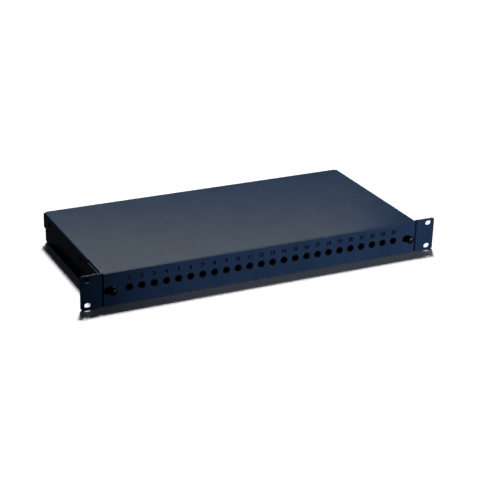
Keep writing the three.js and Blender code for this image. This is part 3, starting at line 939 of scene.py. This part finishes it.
def numerals():
    """The port numbers, printed above the ports."""
    height = 5.5
    middle_z = 33
    bolder = 0.056  # grows the outlines. At some other values a loop of 3, 6, 8 or 9 is lost
    film = 0.02  # the ink's thickness
    bm = bmesh.new()
    for i, port_x in PORT_X.items():
        curve = bpy.data.curves.new("number", "FONT")
        curve.body = str(i)
        curve.extrude = 0.5
        curve.offset = bolder
        obj = bpy.data.objects.new("number", curve)
        bpy.context.scene.collection.objects.link(obj)
        mesh = bpy.data.meshes.new_from_object(obj.evaluated_get(bpy.context.evaluated_depsgraph_get()))
        bpy.data.objects.remove(obj)
        corners = [v.co for v in mesh.vertices]
        x0, x1 = min(c.x for c in corners), max(c.x for c in corners)
        y0, y1 = min(c.y for c in corners), max(c.y for c in corners)
        size = height / (y1 - y0)
        for vertex in mesh.vertices:
            x = port_x + (vertex.co.x - (x0 + x1) / 2) * size
            z = middle_z + (vertex.co.y - (y0 + y1) / 2) * size
            vertex.co = at(x, -film / 2 - film * vertex.co.z, z)
        bm.from_mesh(mesh)
        bpy.data.meshes.remove(mesh)
    bmesh.ops.remove_doubles(bm, verts=bm.verts, dist=TOUCHING)
    bmesh.ops.recalc_face_normals(bm, faces=bm.faces)
    piece(add_object("port_numbers", bm), "drawer", "marking_ink", INK)


BOARD_SCREWS = (12, 70, 128, 182)
BOARD_SCREW_Y = 34


def tray():
    lo, hi = span("drawer_tray")
    notch = BASE_NOTCH
    inner = notch - SHEET - SLIVER
    right = [(hi.x - notch, lo.y), (hi.x - notch, lo.y + notch), (hi.x, lo.y + notch)]
    right += [(hi.x, hi.y - notch), (hi.x - notch, hi.y - notch), (hi.x - notch, hi.y)]
    outline = right + [(-x, y) for x, y in reversed(right)]
    side_wall, rear_wall, front_lip = hi.z - lo.z, 11, 8
    folds = [(2, side_wall, notch, notch), (5, rear_wall, inner, inner)]
    folds += [(8, side_wall, notch, notch), (11, front_lip, inner, inner)]
    obj = folded_sheet("tray_sheet", outline, lo.z, folds, SHEET, 1.8, 1)
    piece(soften(obj, 0.15), "drawer", "tray_paint", PAINT, "drawer_tray")
    floor = lo.z + SHEET
    board = span("jack_board_right")
    top = board[0].z - floor
    post = [(0, 0), (4, 0), (4, 0.5), (3.3, 0.9), (3, 1.2), (3, top - 0.3), (2.8, top), (0, top)]
    bm = bmesh.new()
    for sign in SIDES.values():
        for x in BOARD_SCREWS:
            turned(bm, post, along_z(sign * x, BOARD_SCREW_Y, floor), 24)
    piece(smooth(add_object("board_posts", bm), 30), "drawer", "slide_steel", ZINC)
    for side, sign in SIDES.items():
        for k, x in enumerate(BOARD_SCREWS):
            place = along_z(sign * x, BOARD_SCREW_Y, board[1].z)
            obj = pan_screw("board_screw_%s_%d" % (side, k + 1), place, 2.7, 1.7, 1.4, 5)
            piece(obj, "drawer", "screw_black", BLACK_ZINC)


def jack_sockets():
    """One socket's mesh, shared by all, and the pins that solder them to the boards."""
    lo, hi = span("jack_socket_01")
    nose_front, body_front, z = lo.y, 3, LATCH_Z
    half, low, high = 6.5, lo.z - z, hi.z - z
    bore = 3.3
    bm = bmesh.new()
    prism(bm, rounded(rectangle(-half, half, low, high), 0.8), along_y(0, body_front, z), hi.y - body_front)
    for x in (-4.2, 4.2):
        rib = rounded(rectangle(x - 0.5, x + 0.5, 6, 22), 0.4)
        prism(bm, rib, along_z(0, 0, z + high - 0.4), 0.399)
    shell = add_object("socket_shell", bm)
    cutter = bmesh.new()
    prism(cutter, circle(0, 0, bore, 40), along_y(0, 0, z), hi.y + 1)
    for x in (-2.2, 0, 2.2):
        prism(cutter, rectangle(x - 0.5, x + 0.5, 10, 20), along_z(0, 0, z + high - 0.5), 2)
    drill(shell, cutter)
    soften(shell, 0.3, 2, 40)
    bm = bmesh.new()
    bm.from_mesh(shell.data)
    nose = [(bore, body_front + 0.5), (bore, nose_front + 1), (3.45, nose_front + 0.4)]
    nose += [(3.8, nose_front + 0.08), (4.05, nose_front), (4.25, nose_front + 0.06)]
    nose += [(4.45, nose_front + 0.3), (4.5, nose_front + 0.6)]
    nose += [(4.5, body_front + 0.5), (bore, body_front + 0.5)]
    turned(bm, nose, along_y(0, 0, z))
    bmesh.ops.remove_doubles(bm, verts=bm.verts, dist=TOUCHING)
    bm.to_mesh(shell.data)
    bm.free()
    mesh = smooth(shell, 40).data
    mesh.materials.clear()
    mesh.materials.append(JACK_BLACK)
    for i, x in PORT_X.items():
        obj = bpy.data.objects.new("socket_%02d" % i, mesh)
        bpy.context.scene.collection.objects.link(obj)
        obj.location.x = x * MM
        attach(obj, "drawer")
        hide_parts("jack_socket_%02d" % i)
    bpy.data.objects.remove(shell)
    solder = [(0, 0.5), (0.5, 0.4), (0.9, 0.05), (0.9, 0), (0, 0)]
    pins = bmesh.new()
    top = span("jack_board_right")[1].z
    for port_x in PORT_X.values():
        for x in (port_x - 4, port_x - 2, port_x, port_x + 2, port_x + 4):
            foot = rectangle(x - 0.35, x + 0.35, hi.y - 0.5, hi.y + 0.3)
            prism(pins, foot, along_z(0, 0, top), 3.2)
            turned(pins, solder, along_z(x, hi.y, top), 12)
    piece(smooth(add_object("jack_pins", pins), 30), "drawer", "slide_steel", TINNED)


TERMINAL_WAYS = 36  # on each side, three for each socket


def boards():
    for side, sign in SIDES.items():
        node = "jack_board_" + side
        lo, hi = span(node)
        bm = bmesh.new()
        prism(bm, rounded(rectangle(lo.x, hi.x, lo.y, hi.y), 1.5), along_z(0, 0, lo.z), hi.z - lo.z)
        obj = add_object("board_" + side, bm)
        piece(soften(obj, 0.1, 1), "drawer", "circuit_board", MASK_GREEN, node)
        traces = bmesh.new()
        first = 1 if sign < 0 else PORTS // 2 + 1
        pitch = 5.08
        start = 4 if sign > 0 else -4 - TERMINAL_WAYS * pitch
        for i in range(PORTS // 2):
            for k in range(3):
                x0 = PORT_X[first + i] - 4 + 4 * k
                x1 = start + pitch * (3 * i + k + 0.5)
                path = [(x0, 25), (x0, 27.5 + k), (x1, 30.5 + k), (x1, 44)]
                for (ax, ay), (bx, by) in zip(path, path[1:]):
                    along = Vector((bx - ax, by - ay)).normalized() * 0.35
                    across = Vector((-along.y, along.x))
                    near, far = Vector((ax, ay)) - along, Vector((bx, by)) + along
                    outline = [near - across, far - across, far + across, near + across]
                    prism(traces, outline, along_z(0, 0, hi.z), 0.04)
        piece(add_object("board_traces_" + side, traces), "drawer", "circuit_board", TRACE_GREEN)


def terminals():
    for side in SIDES:
        node = "terminal_block_" + side
        lo, hi = span(node)
        z0 = lo.z
        section = [(44, z0), (60, z0), (60, z0 + 9), (57, z0 + 13), (47, z0 + 13), (44, z0 + 10)]
        bm = bmesh.new()
        prism(bm, rounded(section, 0.5), along_x(lo.x, 0, 0), hi.x - lo.x)
        obj = add_object("terminals_" + side, bm)
        cutter = bmesh.new()
        screws = bmesh.new()
        pitch = (hi.x - lo.x) / TERMINAL_WAYS
        screw_y = 52
        for i in range(TERMINAL_WAYS):
            x = lo.x + pitch * (i + 0.5)
            prism(cutter, rectangle(x - 1.7, x + 1.7, z0 + 2.2, z0 + 6.6), along_y(0, 53, 0), 8)
            prism(cutter, circle(x, screw_y, 1.9, 20), along_z(0, 0, z0 + 9), 5)
            if i:
                seam = x - pitch / 2
                prism(cutter, rectangle(seam - 0.15, seam + 0.15, 43, 61), along_z(0, 0, z0 + 12.5), 1)
            head = [(0, 0), (1.75, 0), (1.75, 1.2), (0, 1.2)]
            turned(screws, head, along_z(x, screw_y, z0 + 8.9), 20)
            for start in (195, 15):
                arch = arc(x, screw_y, 1.7, start, start + 150, 10)
                prism(screws, arch, along_z(0, 0, z0 + 10.05), 0.6)
        drill(obj, cutter)
        piece(smooth(obj, 30), "drawer", "terminal_plastic", TERMINAL_GREEN, node)
        piece(smooth(add_object("terminal_screws_" + side, screws), 30), "drawer", "slide_steel", TINNED)


def lacing():
    """The bar that the cables are tied to: raised between its two feet."""
    lo, hi = span("lacing_bar")
    thick = 1.5
    inside, outside = 168, 168 + thick  # the two faces of the raised part's ends
    screw_x = 178
    hat = [
        (lo.x, lo.z), (-inside, lo.z), (-inside, hi.z - thick), (inside, hi.z - thick), (inside, lo.z),
        (hi.x, lo.z), (hi.x, lo.z + thick), (outside, lo.z + thick), (outside, hi.z), (-outside, hi.z),
        (-outside, lo.z + thick), (lo.x, lo.z + thick),
    ]
    bm = bmesh.new()
    prism(bm, rounded(hat, 1.2), along_y(0, lo.y, 0), hi.y - lo.y)
    obj = add_object("tie_bar", bm)
    cutter = bmesh.new()
    for x in (-140, -84, -28, 28, 84, 140):  # slots for cable ties
        prism(cutter, rounded(rectangle(x - 5, x + 5, 117, 120), 1.2), along_z(0, 0, hi.z - 4), 8)
    for sign in SIDES.values():
        prism(cutter, circle(sign * screw_x, (lo.y + hi.y) / 2, 1.8, 24), along_z(0, 0, lo.z - 1), 4)
    drill(obj, cutter)
    piece(soften(obj, 0.2), "drawer", "slide_steel", ZINC, "lacing_bar")
    for side, sign in SIDES.items():
        place = along_z(sign * screw_x, (lo.y + hi.y) / 2, lo.z + thick)
        obj = pan_screw("tie_bar_screw_" + side, place, 3.0, 1.8, 1.5, 2.4)
        piece(obj, "drawer", "screw_black", BLACK_ZINC)


# ---------------------------------------------------------------- plunger latches
def latch(side, sign):
    """The grommet with its collar and its split legs, and the knob with its pin."""
    place = along_y(sign * LATCH_X, 0, LATCH_Z)
    bm = bmesh.new()
    collar = [(2, -1.8), (4.5, -1.8), (4.85, -1.65), (5, -1.3), (5, -0.3)]
    legs = [(3.3, -0.3), (3.3, 7.6), (3.0, 9), (2, 9)]
    turned(bm, collar + legs, place)
    obj = add_object("grommet_" + side, bm)
    cutter = bmesh.new()
    for split in (rectangle(-0.4, 0.4, -5, 5), rectangle(-5, 5, -0.4, 0.4)):
        prism(cutter, split, along_y(sign * LATCH_X, 2.5, LATCH_Z), 8)
    drill(obj, cutter)
    piece(smooth(obj, 35), "drawer", "latch_nylon", LATCH_NYLON, "latch_grommet_" + side)

    node = "latch_plunger_" + side
    face = span(node)[0].y
    bm = bmesh.new()
    crown = [(0, face), (2.4, face + 0.05), (3.4, face + 0.3), (4.2, face + 0.75), (4.65, face + 1.35)]
    crown += [(4.8, face + 2.1), (4.8, -3.0), (4.6, -2.45), (4.2, -2.2)]
    pin = [(1.8, -2.2), (1.6, -2.0), (1.6, 7.4), (1.3, 8.3), (0.7, 8.9), (0, 9)]
    turned(bm, crown + pin, place, 64)
    obj = smooth(add_object("knob_" + side, bm), 50)
    piece(obj, "latch_" + side, "latch_nylon", LATCH_NYLON, node)


camera()
studio()
base_shell()
cover()
side_screws()
earth_point()
for side, sign in SIDES.items():
    rack_ear(side, sign)
    gland(side)
    gland_nut(side)
    slide_member(side, sign, "slide_channel", "slide_outer_" + side, "outer", "case")
    slide_member(side, sign, "slide_runner", "slide_inner_" + side, "inner", "drawer")
    slide_cage(side, sign)
    slide_bracket(side, sign)
    latch(side, sign)
front()
numerals()
tray()
boards()
terminals()
jack_sockets()
lacing()
